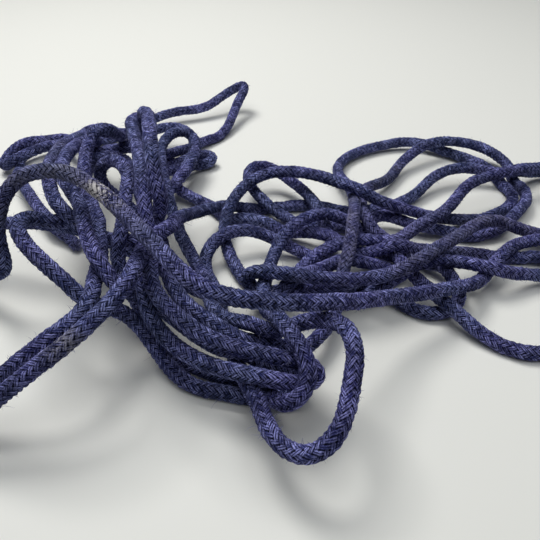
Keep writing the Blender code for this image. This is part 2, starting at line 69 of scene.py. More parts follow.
ROUTE = (
    # cut end at the right, running in along the table
    ("right_end", (
        (558, 259, 3), (540, 257, 3), (520, 256, 3), (505, 257, 3), (490, 255, 3), (475, 254, 3.5),
        (460, 252, 4), (445, 253, 4), (430, 254, 5), (410, 252, 8),
    )),
    # under the worn arch and across the gap to the left pile
    ("low_run_left", (
        (395, 249, 10), (378, 250, 9), (365, 250, 7), (352, 248, 6), (342, 244, 5), (333, 238, 5),
        (320, 234, 5), (305, 232, 5), (295, 233, 4), (284, 232, 4), (272, 225, 3), (260, 220, 3),
        (245, 218, 3), (232, 217, 3), (220, 211, 3), (210, 205, 4), (200, 201, 5), (190, 196, 7),
        (180, 190, 9),
    )),
    # up behind the tall arch of the left pile and in under it
    ("behind_tall_arch", (
        (174, 184, 11), (180, 176, 11), (187, 166, 11), (192, 156, 10), (194, 143, 9),
        (188, 132, 8), (176, 127, 8), (168, 127, 8), (158, 129, 8), (145, 134, 9), (130, 139, 14),
    )),
    # round hoop at the top of the left pile, then down its front
    ("top_hoop", (
        (125, 141, 22), (119, 136, 29), (112, 131, 36), (103, 128, 40), (95, 130, 40),
        (90, 139, 38), (86, 153, 36), (84, 168, 35), (85, 182, 34), (89, 196, 33), (94, 213, 31),
        (99, 238, 30), (101, 254, 31), (98, 268, 32), (95, 282, 33), (91, 297, 34),
    )),
    # back strand of the doubled run to the front left, and its bight
    ("pair_back", (
        (80, 315, 35), (60, 330, 33), (40, 345, 30), (20, 361, 26), (0, 378, 21), (-20, 394, 15),
        (-40, 409, 9), (-62, 425, 4), (-82, 438, 3), (-96, 448, 3), (-102, 462, 3), (-94, 474, 3),
        (-78, 470, 4), (-58, 451, 7),
    )),
    # front strand of the doubled run, up over the pile and down to the right
    ("pair_front", (
        (-30, 422, 14), (0, 396, 22), (20, 380, 27), (40, 364, 31), (60, 349, 34), (80, 332, 37),
        (100, 313, 39), (115, 298, 40), (127, 282, 40), (134, 268, 38), (141, 254, 36),
        (150, 241, 35), (160, 231, 35), (170, 223, 32), (180, 217, 27), (190, 214, 20),
        (205, 210, 12), (220, 207, 7),
    )),
    # low line along the back of the right pile to its right edge
    ("back_line", (
        (230, 207, 5), (240, 208, 3.5), (262, 208, 3), (285, 206, 3), (310, 205, 3), (330, 208, 3),
        (347, 212, 3), (362, 211, 3), (380, 207, 3), (395, 204, 4), (412, 197, 5), (422, 188, 6),
        (431, 179, 7), (445, 171, 8), (458, 168, 8), (472, 168, 8), (485, 171, 7), (497, 174, 6),
        (510, 176, 6), (525, 174, 5), (540, 172, 4), (556, 172, 3.5), (570, 170, 4), (580, 163, 7),
        (574, 156, 10), (560, 160, 13),
    )),
    # wave back over the right pile to its middle
    ("top_wave", (
        (540, 168, 15), (525, 168, 16), (510, 171, 17), (495, 175, 17), (482, 178, 16),
        (470, 183, 15), (461, 192, 14), (454, 202, 13), (445, 211, 13), (432, 219, 14),
        (420, 224, 13), (411, 231, 12), (405, 237, 11), (399, 242, 10), (391, 245, 9),
        (380, 245, 9), (365, 243, 9), (350, 242, 8), (340, 244, 8), (330, 247, 8), (318, 253, 8),
        (308, 262, 8), (299, 270, 8), (292, 280, 7), (296, 290, 5),
    )),
    # out again beneath the thick run, to the right edge
    ("under_run", (
        (310, 296, 4), (328, 298, 5), (348, 293, 5), (366, 289, 6), (385, 284, 7), (400, 275, 8),
        (415, 266, 9), (430, 260, 10), (442, 258, 10), (455, 261, 11), (470, 264, 12),
        (485, 268, 13), (500, 271, 11), (520, 274, 7), (540, 275, 4), (556, 276, 3), (572, 271, 3),
        (580, 258, 3), (572, 245, 3), (556, 239, 3),
    )),
    # long top strand, from the right edge to the front of the left pile
    ("long_strand_right", (
        (540, 239, 3.5), (530, 241, 5), (515, 246, 7), (503, 253, 9), (496, 261, 8), (490, 269, 7),
        (483, 277, 9), (473, 284, 12), (460, 287, 14), (445, 289, 16), (430, 292, 17),
        (410, 295, 19), (390, 297, 22), (370, 300, 27), (350, 302, 31), (325, 303, 35),
        (300, 303, 38), (275, 302, 41), (250, 300, 43), (220, 295, 44), (200, 287, 45),
        (180, 272, 45),
    )),
    # long top strand over the left pile, and its bight at the left
    ("long_strand_left", (
        (160, 250, 45), (145, 235, 45), (130, 220, 45), (110, 200, 46), (90, 184, 47),
        (70, 173.5, 48), (50, 170, 47), (35, 171.5, 46), (20, 176, 45), (8, 188, 43), (1, 203, 40),
        (-3, 222, 36), (-2, 240, 31), (2, 256, 27), (7, 266, 24), (5, 273, 21), (-4, 275, 18),
        (-18, 272, 15), (-30, 262, 13), (-34, 246, 13), (-28, 232, 15), (-14, 224, 18),
        (2, 223, 22), (15, 223, 25),
    )),
    # lowest run, from the left bight under everything to the right pile
    ("deep_run", (
        (30, 222, 27), (50, 225, 27), (70, 227, 26), (85, 231, 22), (100, 238, 16), (120, 246, 14),
        (140, 256, 14), (160, 268, 14), (180, 281, 13), (205, 292, 12), (240, 298, 10),
        (270, 296, 8), (290, 288, 8), (303, 280, 9), (315, 272, 10), (330, 265, 9), (345, 259, 8),
        (358, 260, 8), (372, 263, 7), (385, 261, 6), (396, 259, 5), (405, 262, 4), (407, 268, 3.5),
        (400, 275, 3), (385, 282, 3), (360, 287, 3), (330, 289, 3), (300, 291, 3), (275, 292, 3),
        (262, 291, 3),
    )),
    # wide arch over the back of the right pile
    ("worn_arch", (
        (253, 287, 4), (245, 280, 5), (238, 270, 6), (231, 258, 6), (227, 247, 6), (224, 235, 6),
        (225, 222, 8), (228, 210, 10), (234, 198, 12), (242, 188, 13), (252, 180, 14),
        (262, 175, 15), (275, 172, 16), (290, 171, 17), (305, 173, 18), (320, 176, 19),
        (340, 183, 20), (355, 189, 20), (370, 197, 18), (385, 203, 16), (400, 208, 13),
        (415, 213, 10), (430, 217, 7), (450, 219, 5), (465, 220, 4),
    )),
    # far hoop at the back right, lying on the table
    ("far_hoop_inner", (
        (480, 219, 4), (498, 213, 4), (507, 208, 4), (514, 201, 4), (512, 193, 4), (504, 184, 4),
        (492, 171, 4), (480, 164, 3.5), (465, 158, 3), (450, 153, 3), (437, 149, 3), (425, 144, 3),
        (412, 142, 3), (400, 142, 3), (385, 145, 3), (370, 148, 3), (355, 153, 3), (343, 160, 3),
        (337.5, 169, 5), (340.5, 178, 8), (350, 188, 11),
    )),
    # short steep strand forward over the right pile, and under the front loop
    ("steep_drop", (
        (355, 200, 15), (354, 215, 18), (352, 230, 19), (350, 245, 18), (347, 258, 15),
        (343, 270, 11), (342, 285, 9), (339, 300, 8), (333, 316, 9), (325, 330, 10),
        (315, 340, 11), (306, 350, 12), (297, 352, 13),
    )),
    # inner strand of the fan, back up into the left pile
    ("inner_run", (
        (290, 348, 14), (270, 343, 15), (250, 338, 16), (230, 331, 17), (212, 322, 18),
        (195, 312, 19), (181, 299, 21), (171, 283, 25), (165, 262, 29), (165, 242, 30),
        (165, 227, 32), (162, 212, 38),
    )),
    # highest strand of the left pile and its bight
    ("column_high", (
        (157.5, 190, 47), (153.5, 170, 50), (151, 150, 51), (149.5, 131, 51), (149, 121, 50),
        (147, 114, 49), (143, 113, 45), (141, 120, 40), (140, 133, 35), (142, 152, 28),
        (148, 174, 20), (156, 192, 14),
    )),
    # tall narrow arch behind the left pile, then forward
    ("tall_arch", (
        (166, 196, 12), (173, 187, 11), (180, 178, 11), (187, 170, 12), (193, 160, 13),
        (197, 146, 15), (194, 136, 16), (185, 130, 17), (175, 131, 18), (166, 138, 18),
        (161, 148, 18), (161, 160, 18), (163, 175, 17), (167, 190, 16), (170, 205, 14),
        (176, 220, 13), (181, 236, 12), (187, 247, 12), (193, 258, 12), (199, 270, 12),
        (205, 282, 13), (210, 300, 14),
    )),
    # big standing loop at the front
    ("front_loop", (
        (218, 317, 15), (235, 323, 17), (262, 327, 20), (290, 324, 25), (312, 319, 29),
        (335, 318, 32), (348, 327, 33), (355, 345, 34), (356, 362, 34), (352.5, 380, 33),
        (349, 400, 30), (344, 422, 27), (334, 441, 24), (319, 454, 22), (304, 458, 20),
        (289, 453, 19), (275, 440, 18), (266, 425, 17), (260, 408, 16), (254, 392, 13),
        (247, 380, 10), (240, 366, 8), (232, 349, 6), (226, 330, 5), (221, 308, 4),
    )),
    # small ring beside the left pile
    ("ring", (
        (217, 290, 4), (209, 279, 4), (204, 266, 4), (207, 251, 6), (215, 240, 10), (226, 233, 12),
        (238, 230, 12), (252, 230, 10), (265, 235, 7), (280, 242, 5), (292, 248, 4), (303, 253, 4),
        (313, 258, 4), (321, 259, 3), (327, 254, 3), (331, 246, 3), (331, 236, 3), (325, 226, 4),
        (321, 216, 7),
    )),
    # curl under the wide arch, then along under the right pile
    ("curl", (
        (316, 205, 8), (308, 195, 8), (298, 186, 8), (287, 178, 8), (278, 171, 8), (268, 166, 9),
        (258, 165, 10), (249, 169, 11), (247, 177, 10), (251, 186, 8), (257, 195, 7),
        (266, 204, 6), (278, 213, 5), (290, 220, 5), (300, 225, 4), (318, 225, 4), (332, 225, 4),
        (345, 227, 4), (356, 230, 4), (365, 229, 4), (370, 221, 5), (377, 214, 6), (390, 216, 6),
        (405, 221, 5), (416, 225, 5), (432, 228, 4), (450, 232, 4), (464, 236, 4), (476, 237, 5),
        (487, 233, 6), (500, 228, 6), (508, 222, 5),
    )),
    # outer far hoop at the back right, and down into the middle
    ("far_hoop_outer", (
        (514, 215, 5), (522, 206, 5), (526, 197, 5), (523, 188, 5), (516, 179, 5), (509, 166, 5),
        (500, 158, 5), (490, 151, 6), (475, 145, 7), (460, 142, 8), (445, 141, 9), (430, 143, 10),
        (420, 148, 10), (410, 155, 8), (401, 163, 6), (395, 171, 5), (388, 180, 5), (378, 184, 6),
        (366, 188, 8), (362, 198, 9), (361, 212, 9), (366, 226, 8), (374, 236, 6), (385, 243, 5),
        (398, 250, 4), (412, 257, 4), (428, 260, 4),
    )),
    # low bight beneath the long strand, and back to the left
    ("under_bight", (
        (442, 263, 5), (450, 275, 6), (457, 286, 8), (462, 296, 8), (457, 305, 6), (445, 312, 4),
        (428, 314, 3), (412, 309, 3), (400, 302, 3), (390, 295, 3), (378, 289, 4), (360, 286, 7),
        (340, 286, 9), (320, 287, 10), (290, 287, 9), (262, 289, 8), (250, 285, 9),
    )),
    # thick run over the front of the right pile, and its bight at the right
    ("thick_run", (
        (243, 279, 13), (246, 273, 18), (259, 272, 20), (275, 274, 20), (290, 276, 19),
        (310, 277, 19), (330, 279, 19), (350, 280, 18), (370, 278, 17), (390, 274, 16),
        (405, 268, 16), (420, 260, 16), (435, 250, 17), (450, 242, 17), (460, 235, 17),
        (470, 228, 17), (480, 223, 16), (493, 220, 14), (505, 223, 11), (517, 228, 8),
        (530, 232, 5), (541, 235, 3.5), (560, 240, 3), (580, 252, 3), (594, 275, 3), (596, 305, 3),
        (584, 330, 3), (562, 348, 3),
    )),
    # low strand at the right front, in under the long strand
    ("low_tail", (
        (540, 354, 3), (525, 353, 3), (510, 349, 3), (495, 342, 3), (480, 333, 4), (468, 323, 6),
        (458, 313, 9), (448, 306, 11), (440, 299, 10), (428, 288, 9), (420, 280, 9), (408, 268, 8),
        (398, 260, 6), (388, 252, 4), (378, 242, 3), (370, 232, 4), (360, 224, 7),
    )),
    # strand standing up from the front and over to the right
    ("strut", (
        (347, 220, 10), (335, 215, 12), (322, 213, 13), (310, 216, 13), (298, 222, 13),
        (290, 229, 12), (282, 238, 12), (276, 250, 11), (270, 265, 9), (265, 290, 8),
        (264, 303, 12),
    )),
    # hook over the end of the front bight, and away beneath it
    ("hook", (
        (270, 316, 20), (278, 319, 24), (287, 327, 27), (296, 339, 29), (304, 352, 30),
        (309, 366, 30), (309, 381, 28), (305, 394, 25), (295, 403, 22), (284, 406, 19),
        (274, 400, 16), (266, 393, 13), (257, 384, 9), (240, 378, 6), (225, 376, 4), (205, 371, 4),
        (185, 362, 4), (170, 350, 4), (158, 335, 4), (148, 320, 4), (138, 305, 7), (132, 290, 14),
    )),
    # ring round the small hole of the left pile
    ("hole_ring", (
        (122, 278, 20), (118, 262, 24), (118, 250, 26), (122, 238, 28), (125, 222, 31),
        (124, 205, 34), (126, 194, 35), (128, 183, 36), (128, 174, 37), (123, 165, 37),
        (114, 160, 35), (105, 162, 31), (99, 168, 27), (98, 177, 23), (103, 187, 20),
        (113, 194, 18), (124, 202, 17), (133, 211, 17), (140, 223, 18), (142, 240, 22),
    )),
    # long flat bight at the front, out and back
    ("front_bight", (
        (141, 262, 27), (142, 285, 26), (145, 305, 21), (155, 325, 18), (170, 342, 16),
        (190, 356, 16), (210, 365, 16), (230, 371, 16), (250, 376, 17), (270, 380, 17),
        (290, 382, 16), (301, 384, 15), (312, 386, 14), (324, 385, 14), (330, 378, 15),
        (326, 370, 16), (315, 364, 17), (297, 361, 18), (280, 358, 19), (260, 353, 20),
        (240, 349, 21), (220, 343, 23), (200, 334, 25), (180, 318, 27), (160, 300, 29),
        (150, 280, 31), (150, 265, 31), (150, 250, 31),
    )),
    # second strand of the left column and its bight
    ("column_low", (
        (151, 238, 32), (150, 225, 37), (147, 210, 43), (145, 190, 45), (142, 170, 45),
        (139, 155, 44), (136, 142, 43), (133.5, 132, 42), (134, 124, 41), (138, 118, 38),
        (143, 121, 33), (145, 134, 29), (147, 150, 25), (150, 166, 19),
    )),
    # small bight behind the left pile
    ("small_bight", (
        (158, 173, 12), (170, 171, 7), (183, 167, 5), (198, 165, 4), (213, 162, 4), (221, 158, 4),
        (213, 153, 4), (200, 155, 5), (186, 158, 6), (172, 163, 7), (158, 158, 10), (145, 150, 15),
    )),
    # bight at the back left
    ("back_left_bight", (
        (132, 143, 20), (125, 143, 22), (110, 146, 23), (95, 147, 22), (85, 148, 18),
        (73, 146, 15), (60, 144.5, 13), (48, 146, 11), (35, 150, 10), (25, 155, 9), (15, 162, 7),
        (9, 169, 6), (4, 172, 5), (2, 168, 5), (5, 160, 5), (13, 150, 6), (24, 143, 8),
        (37, 140.5, 10), (48, 141.5, 11), (60, 141.5, 10), (80, 141, 6), (100, 140, 4),
        (120, 136, 3), (140, 126, 3),
    )),
    # pointed loop far behind the left pile
    ("far_point", (
        (158, 117, 4), (170, 113, 6), (185, 110.5, 8), (200, 109, 9), (212, 104, 10),
        (222, 96, 12), (235, 88.5, 14), (243, 83.5, 15), (248, 80, 15), (247.5, 84, 15),
        (244, 91, 14), (238, 102, 11), (234, 112, 9), (230, 122, 6), (225, 131, 4), (217, 137, 4),
        (205, 141, 5), (198, 143, 6), (190, 148, 8), (178, 152, 9), (166, 157, 11), (155, 151, 14),
        (142, 143, 18),
    )),
    # down the left side of the pile and round behind it
    ("left_drop", (
        (128, 138, 22), (115, 136, 23), (103, 137, 24), (92, 138, 27), (78, 138, 31),
        (70, 141, 34), (63, 145, 36), (56, 153, 37), (50, 163, 38), (48, 172, 39), (49, 181, 38),
        (52, 195, 37), (58, 207, 37), (66, 216, 37), (76, 222, 36), (88, 229, 31), (103, 236, 28),
        (118, 240, 27), (132, 244, 29), (143, 248, 28), (151, 242, 25), (151, 230, 23),
        (146, 212, 23), (140, 195, 22), (135, 177, 21), (128, 162, 20), (116, 155, 19),
        (101, 155, 19), (91, 163, 20), (86, 178, 22), (83, 195, 24), (81, 211, 27),
    )),
    # wide bight at the left, down to the front
    ("left_bight", (
        (76, 221, 31), (65, 221, 33), (50, 221, 34), (36, 218, 36), (26, 217, 37), (19, 220.5, 38),
        (16, 229, 39), (22, 240, 39), (32, 252, 39), (45, 264, 38), (60, 277, 37), (75, 290, 34),
        (88, 302, 30), (103, 307, 25), (118, 309, 19), (132, 319, 12),
    )),
    # lowest curve at the front, on the table, and back beneath
    ("front_curve", (
        (142, 328, 8), (152, 343, 6), (163, 359, 4), (172, 370, 3), (181, 379, 3), (194, 386, 3),
        (208, 390.5, 3), (222, 392, 3), (233, 392.5, 3), (245, 392, 3), (257, 391, 3),
        (271, 393, 3), (285, 396, 3), (296, 394, 3.5), (301, 384, 5), (297, 373, 8), (285, 368, 9),
        (260, 365, 9), (240, 359, 9), (225, 352, 9), (205, 341, 10), (185, 327, 11),
        (165, 311, 13), (148, 298, 17), (130, 291, 25), (118, 288, 31),
    )),
    # up the front of the left pile to its top
    ("front_rise", (
        (110, 282, 34), (101, 268, 36), (93, 252, 37), (87, 235, 38), (83, 218, 38), (79, 203, 38),
        (72, 192, 39), (64, 180, 40), (61, 170, 39), (62, 163, 38), (66, 156, 37), (70, 150, 35),
        (77, 145, 33), (84, 142, 31), (91, 140, 28), (96, 142, 23), (91, 146, 18), (78, 146.5, 12),
        (62, 145, 6), (48, 146, 3), (35, 150, 3), (25, 155, 3), (19, 161, 3),
    )),
    # last stretch, down to the cut end on the table
    ("left_end", (
        (17.5, 169, 5), (20, 180, 8), (30, 195, 10), (38, 207, 10), (45, 215, 9), (52, 226, 8),
        (62, 233, 6), (72, 240, 5), (78, 247, 4),
    )),
)


def smooth_route(rows, step):
    """Centripetal Catmull-Rom curve through the rows, in even steps."""
    p = np.asarray(rows, float)
    q = np.vstack([2 * p[0] - p[1], p, 2 * p[-1] - p[-2]])
    s = np.linspace(0.0, 1.0, 12, endpoint=False)[:, None]
    out = []
    for k in range(1, len(q) - 2):
        a, b, c, d = q[k - 1:k + 3]
        ab = math.sqrt(max(np.linalg.norm(b - a), 1e-6))
        bc = math.sqrt(max(np.linalg.norm(c - b), 1e-6))
        cd = math.sqrt(max(np.linalg.norm(d - c), 1e-6))
        m = c - b + bc * ((b - a) / ab - (c - a) / (ab + bc))
        n = c - b + bc * ((d - c) / cd - (d - b) / (bc + cd))
        out.append((2 * s**3 - 3 * s**2 + 1) * b + (s**3 - 2 * s**2 + s) * m
                   + (-2 * s**3 + 3 * s**2) * c + (s**3 - s**2) * n)
    return even(np.vstack(out + [q[-2:-1]]), step)


def placed(rows):
    """Rows of the route, carried from the sheet to the heap."""
    across, down, height = (np.asarray(rows, float) - (0.5 * SHEET, 0.5 * SHEET, 0.0)).T
    height = height + PILE_UP * np.maximum(height - 3.0, 0.0) ** 2
    tilt = math.radians(EYE_TILT)
    reach = (EYE[2] - height) / (SHEET * math.sin(tilt) + down * math.cos(tilt))
    away = reach * (SHEET * math.cos(tilt) - down * math.sin(tilt)) + EYE[1]
    return np.stack([reach * across, away, height], axis=1)


def sight(points):
    way = points - np.array(EYE)
    return way / np.linalg.norm(way, axis=1)[:, None]


def along(points):
    return np.r_[0.0, np.cumsum(np.linalg.norm(np.diff(points, axis=0), axis=1))]


def even(points, step):
    """The same line with its points an even distance apart."""
    length = along(points)
    where = np.linspace(0.0, length[-1], max(2, int(round(length[-1] / step)) + 1))
    return np.stack([np.interp(where, length, points[:, k]) for k in range(3)], axis=1)


def blur(values, width):
    """Weighted average along the cord, which spreads a push over its neighbours."""
    kernel = np.hanning(2 * width + 3)[1:-1]
    kernel /= kernel.sum()
    padded = np.vstack([np.repeat(values[:1], width, 0), values, np.repeat(values[-1:], width, 0)])
    return np.stack([np.convolve(padded[:, k], kernel, "valid") for k in range(values.shape[1])], axis=1)


def passing_pairs(points, reach):
    """Pairs of places on two different strands that lie within reach of each other."""
    skip = int(2.6 * CORD_D / WALK)
    first, second = [], []
    for start in range(0, len(points), 400):
        block = points[start:start + 400]
        apart = ((block[:, None, :] - points[None, :, :]) ** 2).sum(2)
        i, j = np.nonzero(apart < reach * reach)
        i = i + start
        keep = j - i > skip
        first.append(i[keep])
        second.append(j[keep])
    return np.concatenate(first), np.concatenate(second)


def draw_apart(points, rounds, width, by_sight=False, home=None, pull=0.0, calm=0.0):
    """Parts strands that pass too near: first in depth only, then freely, near their home."""
    points = points.copy()
    eye = np.array(EYE)
    for turn in range(rounds):
        if turn % 6 == 0:
            i_all, j_all = passing_pairs(points, CLEARANCE + 4.0)
        gap = points[i_all] - points[j_all]
        size = np.linalg.norm(gap, axis=1)
        close = size < CLEARANCE
        if not close.any():
            break
        i, j, gap, size = i_all[close], j_all[close], gap[close], size[close]
        if by_sight:
            ray = sight(0.5 * (points[i] + points[j]))
            deep = (gap * ray).sum(1)
            beside = np.maximum((gap * gap).sum(1) - deep**2, 0.0)
            need = np.sqrt(np.maximum(CLEARANCE**2 - beside, 0.0))
            step = (need - np.abs(deep)) * 0.5 * np.where(deep >= 0.0, 1.0, -1.0)
            push = np.clip(step, -1.2, 1.2)[:, None] * ray
        else:
            push = 0.5 * (CLEARANCE - size)[:, None] * gap / np.maximum(size, 1e-6)[:, None]
        move = np.zeros_like(points)
        count = np.zeros(len(points))
        np.add.at(move, i, push)
        np.add.at(move, j, -push)
        np.add.at(count, i, 1.0)
        np.add.at(count, j, 1.0)
        move = (1.3 if by_sight else 1.8) * blur(move / np.maximum(count, 1.0)[:, None], width)
        if by_sight:
            ray = sight(points)
            move = (move * ray).sum(1)[:, None] * ray
        points += move
        if calm > 0.0:
            ray = sight(points)
            points += calm * ((blur(points, 5) - points) * ray).sum(1)[:, None] * ray
        if home is not None:
            ray = sight(points)
            back = home - points
            points += pull * (back - (back * ray).sum(1)[:, None] * ray)
        low = points[:, 2] < REST_Z
        scale = (EYE[2] - REST_Z) / (EYE[2] - points[low, 2])
        points[low] = eye + (points[low] - eye) * scale[:, None]
    return points


def limit_bends(points, rounds):
    """Eases bends that are too sharp for the cord."""
    points = even(points, WALK)
    for _ in range(rounds):
        sharp = np.clip(1.0 - bend_radius(points) / TIGHTEST, 0.0, 1.0)
        sharp[[0, -1]] = 0.0
        weight = np.clip(2.0 * blur(sharp[:, None], 2), 0.0, 0.8)
        points = points + weight * (blur(points, 2) - points)
        points[:, 2] = np.maximum(points[:, 2], REST_Z)
    return points


def settle(points, rounds):
    """Moves strands that pass too near apart, and keeps all of them on or above the surface."""
    points = points.copy()
    for turn in range(rounds):
        if turn % 6 == 0:
            i_all, j_all = passing_pairs(points, CLEARANCE + 4.0)
        gap = points[i_all] - points[j_all]
        size = np.linalg.norm(gap, axis=1)
        close = size < CLEARANCE
        if not close.any():
            break
        i, j = i_all[close], j_all[close]
        push = 0.5 * (CLEARANCE - size[close])[:, None] * gap[close] / np.maximum(size[close], 1e-6)[:, None]
        move = np.zeros_like(points)
        count = np.zeros(len(points))
        np.add.at(move, i, push)
        np.add.at(move, j, -push)
        np.add.at(count, i, 1.0)
        np.add.at(count, j, 1.0)
        points += 1.8 * blur(move / np.maximum(count, 1.0)[:, None], 2)
        points[:, 2] = np.maximum(points[:, 2], REST_Z)
    return even(points, WALK)


def lay_flat(points):
    """A stretch that lies within half a millimetre of the surface lies flat on it."""
    points = points.copy()
    low = points[:, 2] < REST_Z + 0.5
    points[low, 2] = REST_Z
    return points


def bend_radius(points):
    a = points[2:] - points[1:-1]
    b = points[1:-1] - points[:-2]
    la = np.linalg.norm(a, axis=1)
    lb = np.linalg.norm(b, axis=1)
    angle = np.arccos(np.clip((a * b).sum(1) / (la * lb), -1.0, 1.0))
    radius = 0.5 * (la + lb) / np.maximum(angle, 1e-6)
    return np.r_[radius[:1], radius, radius[-1:]]


def tube_points(points):
    """Points for the tube, closer together round a tight bend than on a straight run."""
    radius = 1.0 / np.maximum(blur(1.0 / bend_radius(points)[:, None], 1)[:, 0], 1e-4)
    spacing = np.clip(np.sqrt(8.0 * radius * SAG), SHORTEST, LONGEST)
    length = along(points)
    count = np.r_[0.0, np.cumsum(np.diff(length) * 2.0 / (spacing[1:] + spacing[:-1]))]
    number = int(round(count[-1])) + 1
    where = np.interp(np.linspace(0.0, count[-1], number), count, length)
    return np.stack([np.interp(where, length, points[:, k]) for k in range(3)], axis=1)


def centre_of(points):
    low, high = points.min(0), points.max(0)
    return np.array([0.5 * (low[0] + high[0]), 0.5 * (low[1] + high[1]), 0.0])


def cord_line():
    home = smooth_route(placed([row for _, stretch in ROUTE for row in stretch]), WALK)
    line = draw_apart(home, 60, 5, by_sight=True, calm=0.10)
    line = draw_apart(line, 80, 4, home=home, pull=0.06, calm=0.04)
    line = draw_apart(line, 60, 3, home=home, pull=0.03, calm=0.01)
    line = draw_apart(even(line, WALK), 20, 2)
    for _ in range(3):
        line = even(draw_apart(limit_bends(line, 2), 25, 2), WALK)
    line = settle(blur(line, 1), 80)
    return lay_flat(line)

# ---- braid, millimetres ----
CARRIERS = 8             # strands that turn each way round the cord
STITCH = 2.60            # length of one stitch along the cord
FINE = 4                 # mesh points to a stitch, along the cord and round it
AROUND = CARRIERS * FINE
BODY_R = 2.26            # foot of the braid's relief
STRAND_H = 0.60          # how far a strand stands out of its edges
CROSS_H = 0.27           # how far a strand rises over the ones that it crosses
ROUNDED = 2.6            # how much of a cut end is rounded over
PIECES = 5               # lengths that the long cord is modelled in
FRAY = 420               # loose fibres on each cut end
SEED = 11

# worn places: stretch, where on it they begin and end (0 to 1), how worn, how white
WEAR = (
    ("long_strand_left", 0.00, 0.15, 0.30, 0.03),
    ("long_strand_left", 0.15, 0.235, 0.90, 1.00),
    ("long_strand_left", 0.235, 0.36, 0.45, 0.12),
    ("long_strand_left", 0.36, 0.52, 0.50, 0.06),
    ("left_drop", 0.17, 0.25, 0.40, 0.02),
    ("pair_front", 0.205, 0.24, 0.80, 0.50),
    ("steep_drop", 0.00, 0.55, 0.60, 0.03),
    ("thick_run", 0.25, 0.62, 0.60, 0.0),
    ("far_hoop_outer", 0.55, 0.74, 0.60, 0.0),
    ("far_hoop_outer", 0.74, 0.90, 0.35, 0.0),
    ("worn_arch", 0.85, 1.00, 0.40, 0.0),
    ("top_wave", 0.40, 0.62, 0.30, 0.0),
    ("right_end", 0.40, 1.00, 0.35, 0.0),
)


def transported(tangent):
    """Two directions square to the cord that turn no more than it does."""
    n = len(tangent)
    side = np.empty_like(tangent)
    first = np.cross(tangent[0], [0.0, 0.0, 1.0])
    side[0] = first / np.linalg.norm(first)
    for k in range(1, n):
        s = side[k - 1] - tangent[k] * (side[k - 1] @ tangent[k])
        side[k] = s / math.sqrt(s @ s)
    return side, np.cross(tangent, side)


def wander(where, waves, seed):
    """Smooth unevenness along the cord, between about -1 and 1."""
    rng = np.random.default_rng(seed)
    out = np.zeros_like(where)
    for wave in waves:
        out += np.sin(2 * math.pi * (where / wave + rng.random()) + 0.6 * np.sin(where / (1.7 * wave) + 6 * rng.random()))
    return out / len(waves)


def cell_noise(i, j, seed):
    """A number from 0 to 1 that belongs to one stitch."""
    v = np.sin(i * 12.9898 + j * 78.233 + seed * 37.719) * 43758.5453
    return v - np.floor(v)


def braid_height(turns, stitches):
    """Relief of the braid: turns counts carriers round the cord, and stitches counts along it."""
    a, b = turns - stitches, turns + stitches
    ia, jb = np.floor(a), np.floor(b)

    def strand(f, i, across, centre, seed):
        bulge = np.sqrt(np.clip(1.0 - 0.99 * (2.0 * (f - 0.5)) ** 2, 0.0, 1.0))
        lift = np.cos(0.5 * math.pi * (np.mod(i + across, 4.0) - centre))
        size = 0.76 + 0.42 * cell_noise(i, np.floor((i + across) / 4.0), seed)
        return STRAND_H * size * bulge + CROSS_H * lift

    return np.maximum(strand(a - ia, ia, b, 1.0, 1), strand(b - jb, jb, a, 3.0, 2))


def laid_line():
    """The cord's centreline in the row frame, and where each stretch of it begins, in millimetres."""
    line = cord_line()
    shift = centre_of(tube_points(line))
    line = line - shift
    fine = smooth_route(line, 0.4)
    rows = placed([row for _, stretch in ROUTE for row in stretch])
    reach = along(rows)
    length = along(fine)
    reach *= length[-1] / reach[-1]
    rows = rows - shift
    starts, k = [], 0
    for _, stretch in ROUTE:
        near = np.nonzero(np.abs(length - reach[k]) < 90.0)[0]
        starts.append(length[near[np.argmin(np.linalg.norm(fine[near] - rows[k], axis=1))]])
        k += len(stretch)
    starts.append(length[-1])
    marks = {name: (starts[n], starts[n + 1]) for n, (name, _) in enumerate(ROUTE)}
    return fine, marks


def braided(fine):
    """Rings of the whole cord, each at a quarter of a stitch, with what its material needs."""
    where = along(fine)
    count = where / STITCH + 0.20 * wander(where, (23.0, 61.0, 11.0), SEED)
    stitches = np.arange(math.ceil(count[0] * FINE), math.floor(count[-1] * FINE) + 1) / FINE
    at = np.interp(stitches, count, where)
    centre = np.stack([np.interp(at, where, fine[:, k]) for k in range(3)], axis=1)
    tangent = np.gradient(centre, axis=0)
    tangent /= np.linalg.norm(tangent, axis=1)[:, None]
    side, up = transported(tangent)
    slip = 0.9 * wander(at, (57.0, 133.0, 31.0), SEED + 1)
    turns = np.arange(AROUND) / FINE
    theta = (turns[None, :] + slip[:, None]) * 2.0 * math.pi / CARRIERS
    height = braid_height(turns[None, :], stitches[:, None])
    thick = 1.0 + 0.035 * wander(at, (48.0, 110.0, 19.0), SEED + 2)
    oval = 0.05 * wander(at, (70.0, 33.0), SEED + 3)
    lean = 2.0 * math.pi * wander(at, (160.0, 90.0), SEED + 4)
    shape = thick[:, None] * (1.0 + oval[:, None] * np.cos(2.0 * (theta - lean[:, None])))
    near_end = np.clip(np.minimum(at - at[0], at[-1] - at) / ROUNDED, 0.0, 1.0)
    blunt = 0.30 + 0.70 * np.sqrt(1.0 - (1.0 - near_end) ** 2)
    radius = (BODY_R * shape + height) * blunt[:, None]
    out = np.cos(theta)[:, :, None] * side[:, None, :] + np.sin(theta)[:, :, None] * up[:, None, :]
    points = centre[:, None, :] + radius[:, :, None] * out
    points[:, :, 2] = np.maximum(points[:, :, 2], 0.03 + 0.15 * np.maximum(points[:, :, 2] + 0.3, 0.0))
    return at, centre, points, height, out, stitches


